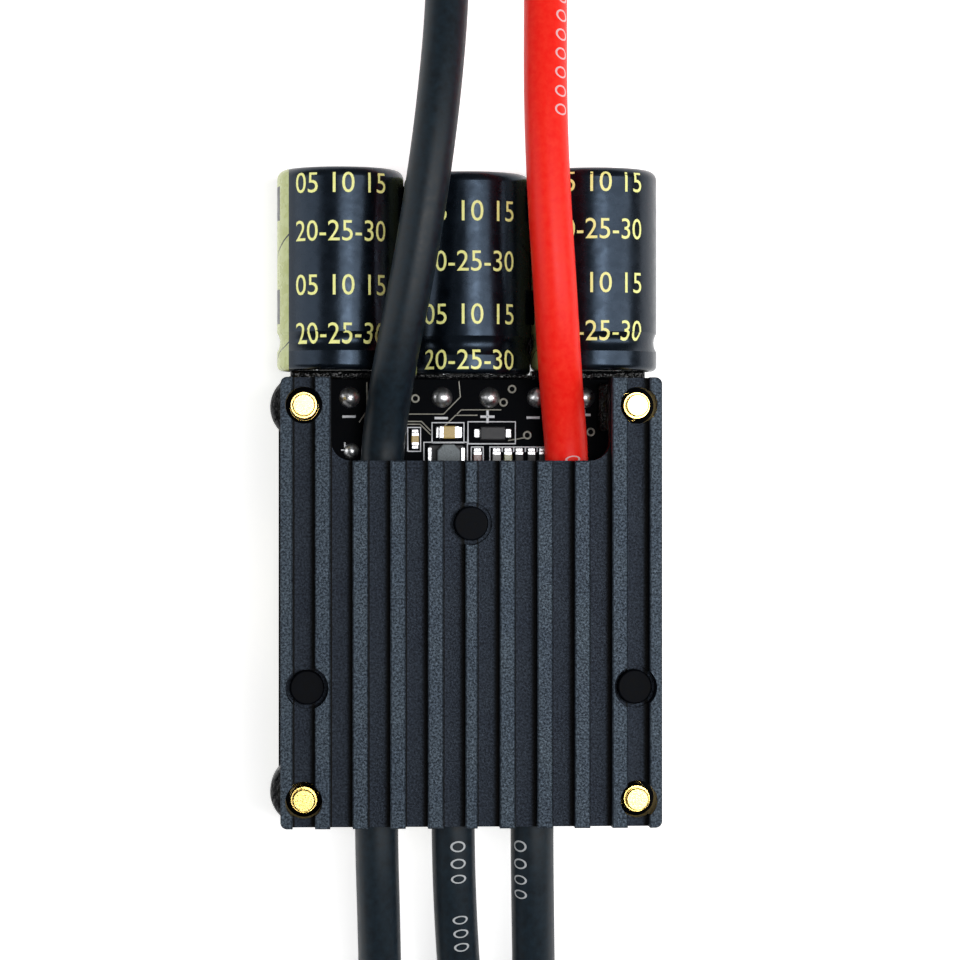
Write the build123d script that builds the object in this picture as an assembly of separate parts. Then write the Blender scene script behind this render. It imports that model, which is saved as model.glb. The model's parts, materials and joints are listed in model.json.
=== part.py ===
from build123d import *
import math
import os

# Electronic speed controller: a finned heat sink over a power board, three can
# capacitors at one end, two battery leads over the capacitors and three motor leads
# out of the other end. Millimetres. +Z is up out of the fins, +Y towards the
# capacitors, and the origin is the middle of the footprint on the base's underside.

# --- stack heights, from the underside of the base plate ---
plate_thickness = 1.5
board_bottom = 7.5
board_thickness = 1.6
board_top = board_bottom + board_thickness
sink_bottom = 14.1
groove_floor = 16.3
sink_top = 18.5

# --- heat sink outline and ribs ---
sink_half_width = 19.55
sink_rear = -33.7
sink_front = 12.5
sink_corner = 0.7
notch_half_width = 14.35
notch_rear = 3.95
notch_corner = 2.0
groove_width = 2.28
rib_width = 1.57
middle_rib_width = 1.23
grooves_per_side = 5
rib_chamfer = 0.13
pedestal_half_width = 14.0
pedestal_rear = -20.9
pedestal_front = -5.3
pedestal_bottom = 10.6

# --- board and base plate ---
board_half_width = 19.6
plate_half_width = 19.9
plate_rear = -33.9
board_corner = 1.5

# --- corner posts, spacers and push rivets ---
post_x = 17.155
post_front = 9.65
post_rear = -30.9
post_places = [(x, y) for y in (post_rear, post_front) for x in (-post_x, post_x)]
post_hole_radius = 1.9
post_shoulder_radius = 1.45
post_body_radius = 2.0
post_flange_radius = 2.5
tapped_radius = 1.25
tapped_depth = 5.6
spacer_radius = 3.6
spacer_step = 6.45
spacer_boss_radius = 2.8
rivet_places = [(0.0, -2.5), (-16.83, -19.3), (16.83, -19.3)]
recess_radius = 2.2
recess_floor = 15.7
rivet_head_radius = 1.77
rivet_head_top = 17.3
rivet_shaft_radius = 1.25

# --- capacitors ---
can_radius = 6.65
can_length = 21.1
can_axis_height = 7.0
sleeve_wall = 0.2
can_pitch = 13.35
cap_base = 13.4
middle_cap_base = 12.95
cap_lead_radius = 0.4
cap_lead_row = 10.6
cap_lead_spacing = 2.5
capacitors = {
    "left": (-can_pitch, cap_base, (-12.4, -7.45)),
    "middle": (0.0, middle_cap_base, (-2.73, 2.25)),
    "right": (can_pitch, cap_base, (7.3, 12.25)),
}

# --- free leads: 12 gauge silicone wire ---
lead_radius = 2.25
gap_height = 11.6
floor_height = 2.3
battery_routes = {
    "battery_lead_negative": [
        (-9.1, -1.2, gap_height), (-9.1, 4.6, gap_height), (-8.5, 9.4, 13.0),
        (-7.65, 14.8, 15.6), (-6.15, 22.3, 16.9), (-4.6, 31.5, 17.3), (-3.3, 41.0, 16.5),
        (-2.3, 51.5, 13.5), (-2.0, 62.5, 8.9), (-2.3, 73.5, 4.6),
        (-3.1, 85.0, 2.5), (-3.7, 98.5, floor_height), (-3.7, 115.5, floor_height),
    ],
    "battery_lead_positive": [
        (10.25, -1.2, gap_height), (10.25, 4.5, gap_height), (9.7, 9.4, 13.0),
        (9.1, 14.8, 16.2), (8.55, 22.4, 17.6), (7.95, 31.3, 17.7), (7.65, 40.8, 16.7),
        (7.85, 51.2, 13.8), (8.2, 62.0, 9.3), (8.3, 73.0, 4.8),
        (7.8, 84.5, 2.6), (7.1, 98.0, floor_height), (7.1, 115.0, floor_height),
    ],
}
bullet_height = 3.0
motor_routes = {
    "a": [
        (-9.65, -27.0, gap_height), (-9.65, -35.0, gap_height), (-9.35, -44.0, 9.6),
        (-9.1, -53.5, 6.0), (-9.4, -64.0, 3.2), (-10.3, -75.0, 2.4),
        (-11.2, -98.5, bullet_height), (-11.2, -136.5, bullet_height),
    ],
    "b": [
        (-1.68, -27.0, gap_height), (-1.68, -35.0, gap_height), (-1.35, -43.5, 9.7),
        (-0.65, -52.5, 6.2), (0.1, -62.5, 3.4), (0.3, -73.5, 2.4),
        (-0.4, -97.0, bullet_height), (-0.4, -135.0, bullet_height),
    ],
    "c": [
        (6.57, -27.0, gap_height), (6.57, -35.0, gap_height), (6.8, -44.2, 9.5),
        (7.15, -53.8, 5.9), (8.0, -64.0, 3.1), (9.2, -75.0, 2.4),
        (10.3, -98.0, bullet_height), (10.3, -136.0, bullet_height),
    ],
}
battery_tip_radius = 1.4
battery_tip_length = 6.0
bullet_radius = 2.45
bullet_bore_radius = 2.0
bullet_length = 18.0
bullet_bore_depth = 10.0
shrink_wall = 0.35
shrink_over_lead = 5.0
shrink_over_bullet = 15.5

# --- sockets under the board, mouth outwards ---
socket_height = 4.8
socket_depth = 7.6
socket_wall = 0.9
socket_pitch = 2.0
contact_side = 0.5
contact_length = 4.5
usb_width = 8.94
usb_height = 3.2
usb_depth = 7.3
usb_wall = 0.3

os.makedirs("parts", exist_ok=True)


def save(shape, name):
    export_step(shape, f"parts/{name}.step")


def block(x_range, y_range, z_range):
    """A box between two limits on each axis."""
    size = [high - low for low, high in (x_range, y_range, z_range)]
    middle = [(high + low) / 2 for low, high in (x_range, y_range, z_range)]
    return Pos(*middle) * Box(*size)


def centred_block(x, y, width, depth, z_low, height):
    """A box standing on a height, centred on a place."""
    return Pos(x, y, z_low + height / 2) * Box(width, depth, height)


def disc(x, y, radius, z_low, z_high):
    """An upright cylinder between two heights."""
    return Pos(x, y, (z_low + z_high) / 2) * Cylinder(radius, z_high - z_low)


def rounded_upright(shape, radius):
    """The shape with its upright edges rounded."""
    return fillet(shape.edges().filter_by(Axis.Z), radius)


def group(solids):
    """Separate solids kept together in one node."""
    return Compound(children=list(solids))


# --- heat sink ---
def groove_centres():
    first = middle_rib_width / 2 + groove_width / 2
    pitch = groove_width + rib_width
    right = [first + step * pitch for step in range(grooves_per_side)]
    return [-x for x in right] + right


def groove_cutter(x):
    """One groove with small chamfers on the two ribs' edges, along the whole sink."""
    half = groove_width / 2
    margin = 0.5
    profile = [
        (x - half, groove_floor), (x + half, groove_floor),
        (x + half, sink_top - rib_chamfer), (x + half + rib_chamfer, sink_top),
        (x + half + rib_chamfer, sink_top + margin), (x - half - rib_chamfer, sink_top + margin),
        (x - half - rib_chamfer, sink_top), (x - half, sink_top - rib_chamfer),
    ]
    length = sink_front - sink_rear + 2 * margin
    face = make_face(Plane.XZ * Polyline(*profile, close=True))
    return Pos(0, sink_front + margin, 0) * extrude(face, length)


def heat_sink():
    height = sink_top - sink_bottom
    middle = (sink_front + sink_rear) / 2
    outline = Pos(0, middle) * RectangleRounded(2 * sink_half_width, sink_front - sink_rear, sink_corner)
    notch_depth = sink_front - notch_rear
    notch = Pos(0, notch_rear + notch_depth) * Rectangle(2 * notch_half_width, 2 * notch_depth)
    outline -= fillet(notch.vertices().group_by(Axis.Y)[0], notch_corner)
    body = Pos(0, 0, sink_bottom) * extrude(outline, height)
    body = chamfer(body.edges().group_by(Axis.Z)[-1], rib_chamfer)
    for x in groove_centres():
        body -= groove_cutter(x)
    body += block((-pedestal_half_width, pedestal_half_width), (pedestal_rear, pedestal_front),
                  (pedestal_bottom, sink_bottom + 0.5))
    for x, y in post_places:
        body -= disc(x, y, post_hole_radius, sink_bottom - 1, sink_top + 1)
    for x, y in rivet_places:
        body -= disc(x, y, recess_radius, recess_floor, sink_top + 1)
        body -= disc(x, y, rivet_shaft_radius + 0.1, sink_bottom - 1, sink_top)
    return body


# --- plates ---
def plate(half_width, z_low, z_high, front):
    body = block((-half_width, half_width), (plate_rear, front), (z_low, z_high))
    return rounded_upright(body, board_corner)


def main_board():
    body = plate(board_half_width, board_bottom, board_top, sink_front)
    for x, y in post_places:
        body -= disc(x, y, post_shoulder_radius + 0.05, board_bottom - 1, board_top + 1)
    for x, y in rivet_places:
        body -= disc(x, y, rivet_shaft_radius + 0.05, board_bottom - 1, board_top + 1)
    for _, _, ends in capacitors.values():
        for x in ends:
            body -= disc(x, cap_lead_row, cap_lead_radius + 0.1, board_bottom - 1, board_top + 1)
    return body


def base_plate():
    body = plate(plate_half_width, 0, plate_thickness, sink_front)
    for x, y in post_places:
        body -= disc(x, y, post_flange_radius, -1, plate_thickness + 1)
    return body


# --- posts, spacers, rivets ---
def corner_post(x, y):
    """Brass post: clinched flange, body in the spacer, shank through board and sink, bright tip."""
    shoulder_top = 15.9
    neck_top = 16.05
    tip_top = 17.1
    tip_radius = 1.17
    edge = 0.12
    profile = [
        (0, 0), (post_flange_radius, 0), (post_flange_radius, plate_thickness),
        (post_body_radius, plate_thickness), (post_body_radius, board_bottom),
        (post_shoulder_radius, board_bottom), (post_shoulder_radius, shoulder_top - edge),
        (post_shoulder_radius - edge, shoulder_top), (tip_radius - edge, shoulder_top),
        (tip_radius - edge, neck_top), (tip_radius, neck_top + edge / 2),
        (tip_radius, tip_top - edge), (tip_radius - edge, tip_top), (0, tip_top),
    ]
    body = revolve(make_face(Plane.XZ * Polyline(*profile, close=True)), Axis.Z)
    body -= Pos(0, 0, tapped_depth / 2) * Cylinder(tapped_radius, tapped_depth)
    body -= Pos(0, 0, tapped_depth + 0.35) * Cone(tapped_radius, 0, 0.7)
    return Pos(x, y, 0) * body


def corner_spacer(x, y):
    """Round black spacer with a boss that carries the board."""
    barrel = disc(x, y, spacer_radius, plate_thickness, spacer_step)
    barrel = fillet(barrel.edges(), 0.5)
    barrel += disc(x, y, spacer_boss_radius, spacer_step - 1, board_bottom)
    return barrel - disc(x, y, post_body_radius + 0.05, plate_thickness - 1, board_bottom + 1)


def push_rivet(x, y):
    """Nylon push rivet: flat head in the recess, shaft, barb under the board."""
    barb_radius = 1.7
    barb_top = board_bottom
    barb_bottom = 5.4
    head = disc(x, y, rivet_head_radius, recess_floor, rivet_head_top)
    head = fillet(head.edges().group_by(Axis.Z)[-1], 0.2)
    shaft = disc(x, y, rivet_shaft_radius, barb_bottom, recess_floor + 0.5)
    barb = Pos(x, y, (barb_top + barb_bottom) / 2) * Cone(0.8, barb_radius, barb_top - barb_bottom)
    return head + shaft + barb


# --- capacitors ---
def can_body(radius, low, high, edge, bead):
    """A drawn can standing along +Y: rounded ends and a rolled bead near its open end."""
    bead_place = 3.0
    bead_half = 1.0
    bead_depth = 0.3
    outline = [
        Line((0, low), (radius - edge, low)),
        RadiusArc((radius - edge, low), (radius, low + edge), -edge),
        Line((radius, low + edge), (radius, bead_place - bead_half)),
        ThreePointArc((radius, bead_place - bead_half), (radius - bead_depth, bead_place),
                      (radius, bead_place + bead_half)),
        Line((radius, bead_place + bead_half), (radius, high - bead)),
        RadiusArc((radius, high - bead), (radius - bead, high), -bead),
        Line((radius - bead, high), (0, high)),
        Line((0, high), (0, low)),
    ]
    return revolve(make_face(Curve() + outline), Axis.Y)


def along_y(radius, low, high):
    """A cylinder along Y between two places."""
    return Pos(0, (low + high) / 2, 0) * Rot(90, 0, 0) * Cylinder(radius, high - low)


def capacitor_parts(x, base, lead_ends):
    place = Pos(x, base, can_axis_height)
    bung_radius = 5.0
    bung_inset = 0.15
    bung_depth = 1.4
    sleeve_lip = 5.3
    outer = can_body(can_radius, 0, can_length, 0.6, 1.0)
    inner = can_body(can_radius - sleeve_wall, sleeve_wall, can_length - sleeve_wall, 0.4, 0.8)
    sleeve = outer - inner
    sleeve -= along_y(sleeve_lip, can_length / 2, can_length + 1)
    sleeve -= along_y(sleeve_lip + 0.5, -1, can_length / 2)
    can = inner - along_y(bung_radius, sleeve_wall - 1, bung_depth)
    bung = along_y(bung_radius, bung_inset, bung_depth)
    leads = []
    for side, end_x in zip((-1, 1), lead_ends):
        start = x + side * cap_lead_spacing
        leads.append(capacitor_lead(start, base + bung_inset, end_x))
    return place * can, place * sleeve, place * bung, group(leads)


def capacitor_lead(start_x, base, end_x):
    """A wire from the bung, sideways under the board's edge and up through its hole."""
    bend = 0.6
    low = can_axis_height
    path = FilletPolyline(
        (start_x, base, low), (start_x, base - 0.7, low), (end_x, cap_lead_row + 1.1, low),
        (end_x, cap_lead_row, low), (end_x, cap_lead_row, board_top),
        radius=[bend, bend, bend],
    )
    section = Plane(origin=path @ 0, z_dir=path % 0) * Circle(cap_lead_radius)
    return sweep(section, path)


def solder_dome(x, y, radius, height):
    """A cap of a ball standing on the board."""
    ball = (radius ** 2 + height ** 2) / (2 * height)
    shape = Pos(x, y, board_top + height - ball) * Sphere(ball)
    return shape & centred_block(x, y, 4 * radius, 4 * radius, board_top, 2 * height)


# --- board components ---
def lead_joint(x, y_face, direction):
    """Solder over a stripped lead end, from the insulation's end face inwards."""
    length = 2.9
    width = 4.3
    y_far = y_face + direction * length
    body = block((x - width / 2, x + width / 2), sorted((y_face, y_far)), (board_top, 13.0))
    far_edges = body.edges().sort_by(Axis.Y)
    chosen = far_edges[-4:] if direction > 0 else far_edges[:4]
    chosen = [edge for edge in chosen if edge.center().Z > board_top + 0.1]
    return fillet(chosen, 1.2)


def power_inductor():
    body = centred_block(-2.3, 3.7, 3.9, 3.9, board_top, 2.0)
    return chamfer(body.edges().filter_by(Axis.Z), 0.7)


def small_parts(places, width, depth, height):
    return group([centred_block(x, y, width, depth, board_top, height) for x, y in places])


def ceramic_capacitors():
    large = centred_block(-2.0, 6.95, 2.05, 1.25, board_top, 1.2)
    small = centred_block(-5.57, 6.24, 0.72, 1.4, board_top, 0.75)
    return group([large, small])


def adhesive_bead():
    body = block((13.55, 14.95), (7.4, 12.3), (board_top, 10.7))
    return fillet(body.edges().group_by(Axis.Z)[-1], 0.5)


def capacitor_adhesive(leads):
    """Glue along the board's front edge, filling the gap up to the capacitors' base ends."""
    glue_bottom = 6.5
    glue_top = 9.5
    half_length = 18.6
    strip = block((-half_length, half_length), (sink_front, cap_base), (glue_bottom, glue_top))
    strip = fillet(strip.edges().group_by(Axis.Z)[-1], 0.3)
    middle = can_radius + 0.02
    strip -= block((-middle, middle), (middle_cap_base, cap_base + 1), (0, 20))
    for lead in leads:
        strip -= lead
    return group([strip] + [can_wedge(side) for side in (-1, 1)])


def can_wedge(side):
    """Glue run into the valley under two neighbouring capacitors."""
    middle = side * can_pitch / 2
    half_width = 1.4
    along = (14.2, 33.0)
    heights = (3.0, 5.8)
    wedge = block((middle - half_width, middle + half_width), along, heights)
    for x, base, _ in capacitors.values():
        wedge -= Pos(x, base, can_axis_height) * can_body(can_radius, 0, can_length, 0.6, 1.0)
    return wedge


# --- sockets ---
def socket_parts(contacts):
    """A side-entry socket: mouth towards -Y at y=0, its top against the board."""
    width = socket_pitch * (contacts - 1) + 4.9
    low = board_bottom - socket_height
    housing = block((-width / 2, width / 2), (0, socket_depth), (low, board_bottom))
    back = socket_depth - 1.4
    housing -= block((-width / 2 + socket_wall, width / 2 - socket_wall), (-1, back),
                     (low + 0.7, board_bottom - 0.7))
    key_width = 1.2
    for side in (-1, 1):
        key = side * (width / 2 - 2.2)
        housing -= block((key - key_width / 2, key + key_width / 2), (-1, 3.0), (low - 1, low + 1))
    pins = []
    middle = (low + board_bottom) / 2
    for number in range(contacts):
        x = socket_pitch * (number - (contacts - 1) / 2)
        pins.append(block((x - contact_side / 2, x + contact_side / 2), (back - contact_length, back),
                          (middle - contact_side / 2, middle + contact_side / 2)))
    return housing, group(pins)


def usb_parts():
    low = board_bottom - usb_height
    shell = block((-usb_width / 2, usb_width / 2), (0, usb_depth), (low, board_bottom))
    shell = fillet(shell.edges().filter_by(Axis.Y), 1.5)
    cavity = block((-usb_width / 2 + usb_wall, usb_width / 2 - usb_wall), (-1, usb_depth - 0.8),
                   (low + usb_wall, board_bottom - usb_wall))
    shell -= fillet(cavity.edges().filter_by(Axis.Y), 1.2)
    middle = (low + board_bottom) / 2
    tongue = block((-3.35, 3.35), (1.2, usb_depth - 0.8), (middle - 0.35, middle + 0.35))
    return shell, tongue


# --- free leads ---
def corner_radii(points):
    """For each corner, 0.45 of its shorter run over the tangent of half the turn."""
    radii = []
    for before, corner, after in zip(points, points[1:], points[2:]):
        run_in = Vector(*corner) - Vector(*before)
        run_out = Vector(*after) - Vector(*corner)
        half_turn = math.radians(run_in.get_angle(run_out)) / 2
        radii.append(0.45 * min(run_in.length, run_out.length) / math.tan(half_turn))
    return radii


def lead_tube(name, points):
    radii = corner_radii(points)
    path = FilletPolyline(*points, radius=radii)
    section = Plane(origin=path @ 0, z_dir=path % 0) * Circle(lead_radius)
    tube = sweep(section, path)
    expected = math.pi * lead_radius ** 2 * path.length
    print(name, "length", round(path.length, 1), "radii", [round(r) for r in radii],
          "volume ratio", round(tube.volume / expected, 4))
    return tube


def battery_tip(points):
    """Stripped and tinned conductor on the lead's free end, pointing +Y."""
    x, y, z = points[-1]
    tip = Pos(x, y, z) * along_y(battery_tip_radius, 0, battery_tip_length)
    return fillet(tip.edges().group_by(Axis.Y)[-1], 0.6)


def bullet_parts(points):
    """Gold bullet socket on a motor lead, mouth towards -Y, and its shrink sleeve."""
    x, y, z = points[-1]
    place = Pos(x, y, z)
    barrel = along_y(bullet_radius, -bullet_length, 0)
    barrel = chamfer(barrel.edges().group_by(Axis.Y)[0], 0.2)
    barrel -= along_y(bullet_bore_radius, -bullet_length - 1, bullet_bore_depth - bullet_length)
    sleeve = along_y(bullet_radius + shrink_wall, -shrink_over_bullet, 0.5)
    neck = Cone(bullet_radius + shrink_wall, lead_radius + shrink_wall, 1.5)
    sleeve += Pos(0, 1.25, 0) * Rot(-90, 0, 0) * neck
    sleeve += along_y(lead_radius + shrink_wall, 2.0, shrink_over_lead)
    sleeve -= along_y(bullet_radius, -shrink_over_bullet - 1, 0)
    sleeve -= along_y(lead_radius, -0.5, shrink_over_lead + 1)
    return place * barrel, place * sleeve


# --- write every node ---
def write_frame():
    save(heat_sink(), "heat_sink")
    save(base_plate(), "base_plate")
    save(main_board(), "main_board")
    save(group([corner_post(x, y) for x, y in post_places]), "corner_posts")
    save(group([corner_spacer(x, y) for x, y in post_places]), "corner_spacers")
    save(group([push_rivet(x, y) for x, y in rivet_places]), "heat_sink_rivets")


def write_power_stage():
    transistor_columns = (-9.3, 0.0, 9.3)
    transistor_rows = (-9.3, -16.9)
    number = 1
    for y in transistor_rows:
        for x in transistor_columns:
            body = centred_block(x, y, 5.0, 6.0, board_top, 1.0)
            save(body, f"mosfet_{number}")
            number += 1
    save(block((-13.6, 13.6), (-20.7, -5.5), (board_top + 1.0, pedestal_bottom)), "thermal_pad")
    save(small_parts([(x, -22.7) for x in transistor_columns], 6.3, 2.8, 0.6), "shunt_resistors")
    joints = [lead_joint(points[0][0], points[0][1], -1) for points in battery_routes.values()]
    joints += [lead_joint(points[0][0], points[0][1], 1) for points in motor_routes.values()]
    save(group(joints), "lead_solder_joints")


def write_capacitors():
    joints = []
    all_leads = []
    for side, (x, base, lead_ends) in capacitors.items():
        can, sleeve, bung, leads = capacitor_parts(x, base, lead_ends)
        save(can, f"capacitor_can_{side}")
        save(sleeve, f"capacitor_sleeve_{side}")
        save(bung, f"capacitor_bung_{side}")
        save(leads, f"capacitor_leads_{side}")
        all_leads += leads.solids()
        joints += [solder_dome(end, cap_lead_row, 1.1, 0.95) for end in lead_ends]
    joints.append(solder_dome(-12.2, 5.0, 0.85, 0.7))
    save(group(joints), "board_solder_joints")
    save(capacitor_adhesive(all_leads), "capacitor_adhesive")


def write_components():
    chip_row = 4.17
    save(power_inductor(), "power_inductor")
    save(centred_block(2.5, 6.85, 4.06, 1.45, board_top, 1.1), "flyback_diode")
    save(ceramic_capacitors(), "ceramic_capacitors")
    save(small_parts([(x, chip_row) for x in (3.0, 5.38, 6.68, 7.87)], 0.8, 1.6, 0.5), "small_resistors")
    save(small_parts([(x, chip_row) for x in (0.98, 4.2)], 0.8, 1.6, 0.6), "status_leds")
    save(adhesive_bead(), "adhesive_bead")
    save(centred_block(0, -10.0, 10.0, 10.0, board_bottom - 1.4, 1.4), "microcontroller")
    save(centred_block(0, -21.5, 7.0, 7.0, board_bottom - 1.0, 1.0), "gate_driver")
    save(centred_block(-8.0, -4.0, 3.2, 2.5, board_bottom - 0.8, 0.8), "crystal")
    save(centred_block(3.5, 4.5, 4.0, 5.0, board_bottom - 1.6, 1.6), "voltage_regulator")


def write_sockets():
    edge = 19.5
    left = Rot(0, 0, -90)
    right = Rot(0, 0, 90)
    placed = {
        "sensor_socket": (Pos(-edge, -9.45, 0) * left, 6),
        "data_socket": (Pos(edge, -11.4, 0) * right, 4),
        "control_socket": (Pos(-6.0, -33.7, 0), 3),
    }
    for name, (place, contacts) in placed.items():
        housing, pins = socket_parts(contacts)
        save(place * housing, name)
        save(place * pins, f"{name}_contacts")
    shell, tongue = usb_parts()
    place = Pos(edge, -0.1, 0) * right
    save(place * shell, "usb_shell")
    save(place * tongue, "usb_tongue")


def write_leads():
    for name, points in battery_routes.items():
        save(lead_tube(name, points), name)
        save(battery_tip(points), name.replace("lead", "tip"))
    for letter, points in motor_routes.items():
        save(lead_tube(f"motor_lead_{letter}", points), f"motor_lead_{letter}")
        bullet, sleeve = bullet_parts(points)
        save(bullet, f"motor_bullet_{letter}")
        save(sleeve, f"motor_shrink_{letter}")


write_frame()
write_power_stage()
write_capacitors()
write_components()
write_sockets()
write_leads()
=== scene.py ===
# Electronic speed controller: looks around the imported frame.
# Everything is in metres in the CAD frame; sizes in the dictionaries are millimetres.
import json
import math
import bpy
from mathutils import Matrix, Vector


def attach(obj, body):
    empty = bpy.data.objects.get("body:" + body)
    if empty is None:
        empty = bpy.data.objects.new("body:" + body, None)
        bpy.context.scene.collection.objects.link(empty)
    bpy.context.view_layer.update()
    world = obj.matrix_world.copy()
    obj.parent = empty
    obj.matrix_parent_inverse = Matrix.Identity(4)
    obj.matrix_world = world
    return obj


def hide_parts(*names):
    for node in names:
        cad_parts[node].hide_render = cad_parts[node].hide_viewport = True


mm = 0.001
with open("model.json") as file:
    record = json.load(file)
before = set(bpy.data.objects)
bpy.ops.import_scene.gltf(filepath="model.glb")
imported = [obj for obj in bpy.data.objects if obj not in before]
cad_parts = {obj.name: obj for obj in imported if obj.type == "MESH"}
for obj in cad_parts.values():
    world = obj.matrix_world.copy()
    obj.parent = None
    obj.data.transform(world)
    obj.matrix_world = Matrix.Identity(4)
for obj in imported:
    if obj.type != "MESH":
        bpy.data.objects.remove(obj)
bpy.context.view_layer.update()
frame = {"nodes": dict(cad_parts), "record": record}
nodes = frame["nodes"]
print("frame loaded:", len(nodes), "nodes")


# ---------- camera and leads ----------
cameraSettings = {
    "aim": (0.84, 1.96, 18.5),      # middle of the view, on the rib tops
    "distance": 365.0,              # above the rib tops
    "sideways": -16.6,              # the camera stands a little to the left
    "lens": 134.0,
}


def addCamera():
    aim = Vector(cameraSettings["aim"]) * mm
    place = aim + Vector((cameraSettings["sideways"], 0, cameraSettings["distance"])) * mm
    bpy.ops.object.camera_add(location=place)
    camera = bpy.context.object
    camera.name = "mainCamera"
    camera.rotation_euler = (0, math.atan2(cameraSettings["sideways"], cameraSettings["distance"]), 0)
    camera.data.lens = cameraSettings["lens"]
    camera.data.clip_start = 0.01
    bpy.context.scene.camera = camera


leadSettings = {"diameter": 4.5, "roundness": 8, "steps": 14}
gapHeight = 11.6                    # middle of the gap between the board and the sink
floorHeight = 2.3
bulletHeight = 3.0
batteryRoutes = {
    "negative": [
        (-9.1, -1.2, gapHeight), (-9.1, 4.6, gapHeight), (-8.5, 9.4, 13.0),
        (-7.65, 14.8, 15.6), (-6.15, 22.3, 16.9), (-4.6, 31.5, 17.3), (-3.3, 41.0, 16.5),
        (-2.3, 51.5, 13.5), (-2.0, 62.5, 8.9), (-2.3, 73.5, 4.6),
        (-3.1, 85.0, 2.5), (-3.7, 98.5, floorHeight), (-3.7, 115.5, floorHeight),
    ],
    "positive": [
        (10.25, -1.2, gapHeight), (10.25, 4.5, gapHeight), (9.7, 9.4, 13.0),
        (9.1, 14.8, 16.2), (8.55, 22.4, 17.6), (7.95, 31.3, 17.7), (7.65, 40.8, 16.7),
        (7.85, 51.2, 13.8), (8.2, 62.0, 9.3), (8.3, 73.0, 4.8),
        (7.8, 84.5, 2.6), (7.1, 98.0, floorHeight), (7.1, 115.0, floorHeight),
    ],
}
motorRoutes = {
    "a": [
        (-9.65, -27.0, gapHeight), (-9.65, -35.0, gapHeight), (-9.35, -44.0, 9.6),
        (-9.1, -53.5, 6.0), (-9.4, -64.0, 3.2), (-10.3, -75.0, 2.4),
        (-11.2, -98.5, bulletHeight), (-11.2, -136.5, bulletHeight),
    ],
    "b": [
        (-1.68, -27.0, gapHeight), (-1.68, -35.0, gapHeight), (-1.35, -43.5, 9.7),
        (-0.65, -52.5, 6.2), (0.1, -62.5, 3.4), (0.3, -73.5, 2.4),
        (-0.4, -97.0, bulletHeight), (-0.4, -135.0, bulletHeight),
    ],
    "c": [
        (6.57, -27.0, gapHeight), (6.57, -35.0, gapHeight), (6.8, -44.2, 9.5),
        (7.15, -53.8, 5.9), (8.0, -64.0, 3.1), (9.2, -75.0, 2.4),
        (10.3, -98.0, bulletHeight), (10.3, -136.0, bulletHeight),
    ],
}


def addLead(name, route):
    # one smooth NURBS curve through the given points, swept to the lead's diameter
    curve = bpy.data.curves.new(name, "CURVE")
    curve.dimensions = "3D"
    curve.resolution_u = leadSettings["steps"]
    curve.bevel_depth = 1.0         # each point's radius is the lead's, which keeps the curve's box true
    curve.bevel_resolution = leadSettings["roundness"]
    curve.use_fill_caps = True
    spline = curve.splines.new("NURBS")
    spline.points.add(len(route) - 1)
    for point, place in zip(spline.points, route):
        point.co = (*(Vector(place) * mm), 1)
        point.radius = leadSettings["diameter"] * mm / 2
    spline.order_u = 3
    spline.use_endpoint_u = True
    lead = bpy.data.objects.new(name, curve)
    bpy.context.scene.collection.objects.link(lead)
    return lead


def addLeads():
    leads = {}
    for sign, route in batteryRoutes.items():
        lead = addLead("batteryLead_" + sign, route)
        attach(lead, "root")
        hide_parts("battery_lead_" + sign)
        leads[sign] = lead
    for letter, route in motorRoutes.items():
        lead = addLead("motorLead_" + letter, route)
        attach(lead, "root")
        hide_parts("motor_lead_" + letter)
        leads[letter] = lead
    return leads


addCamera()
leads = addLeads()
print("camera and leads:", len(leads), "leads")


# ---------- light and floor ----------
lightSettings = {
    "overhead": {"place": (140, 0, 900), "size": (170, 320), "power": 2.2},
    "left": {"place": (-760, 60, 330), "size": (300, 900), "power": 2.0},
    "right": {"place": (470, 0, 600), "size": (240, 800), "power": 3.2},
}
worldStrength = 0.22


def addLights():
    for name, light in lightSettings.items():
        place = Vector(light["place"]) * mm
        bpy.ops.object.light_add(type="AREA", location=place)
        lamp = bpy.context.object
        lamp.name = name + "Softbox"
        lamp.rotation_euler = (-place).to_track_quat("-Z", "Y").to_euler()
        lamp.data.shape = "RECTANGLE"
        lamp.data.size = light["size"][0] * mm
        lamp.data.size_y = light["size"][1] * mm
        lamp.data.energy = light["power"]
    world = bpy.data.worlds.new("whiteStudio")
    world.use_nodes = True
    world.node_tree.nodes["Background"].inputs["Color"].default_value = (1, 1, 1, 1)
    world.node_tree.nodes["Background"].inputs["Strength"].default_value = worldStrength
    bpy.context.scene.world = world
    bpy.context.scene.view_settings.view_transform = "Standard"     # true whites, no film curve


# ---------- materials ----------
def colour(hexValue):
    # sRGB hex to linear
    channels = [int(hexValue[i:i + 2], 16) / 255 for i in (1, 3, 5)]
    linear = [c / 12.92 if c <= 0.04045 else ((c + 0.055) / 1.055) ** 2.4 for c in channels]
    return (*linear, 1)


def addNode(tree, kind, inputs=None, **settings):
    # a node with its settings; an input is a value or another node's output
    node = tree.nodes.new(kind)
    for key, value in settings.items():
        setattr(node, key, value)
    for key, value in (inputs or {}).items():
        if isinstance(value, bpy.types.NodeSocket):
            tree.links.new(value, node.inputs[key])
        else:
            node.inputs[key].default_value = value
    return node


def newMaterial(name, **sockets):
    # a Principled material whose even values sit on its own sockets, and object space in millimetres
    material = bpy.data.materials.new(name)
    material.use_nodes = True
    tree = material.node_tree
    shader = tree.nodes["Principled BSDF"]
    for key, value in sockets.items():
        shader.inputs[key.replace("_", " ")].default_value = value
    place = addNode(tree, "ShaderNodeTexCoord").outputs["Object"]
    scaled = addNode(tree, "ShaderNodeMapping", {"Vector": place, "Scale": (1000, 1000, 1000)})
    return material, tree, shader, scaled.outputs["Vector"]


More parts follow.
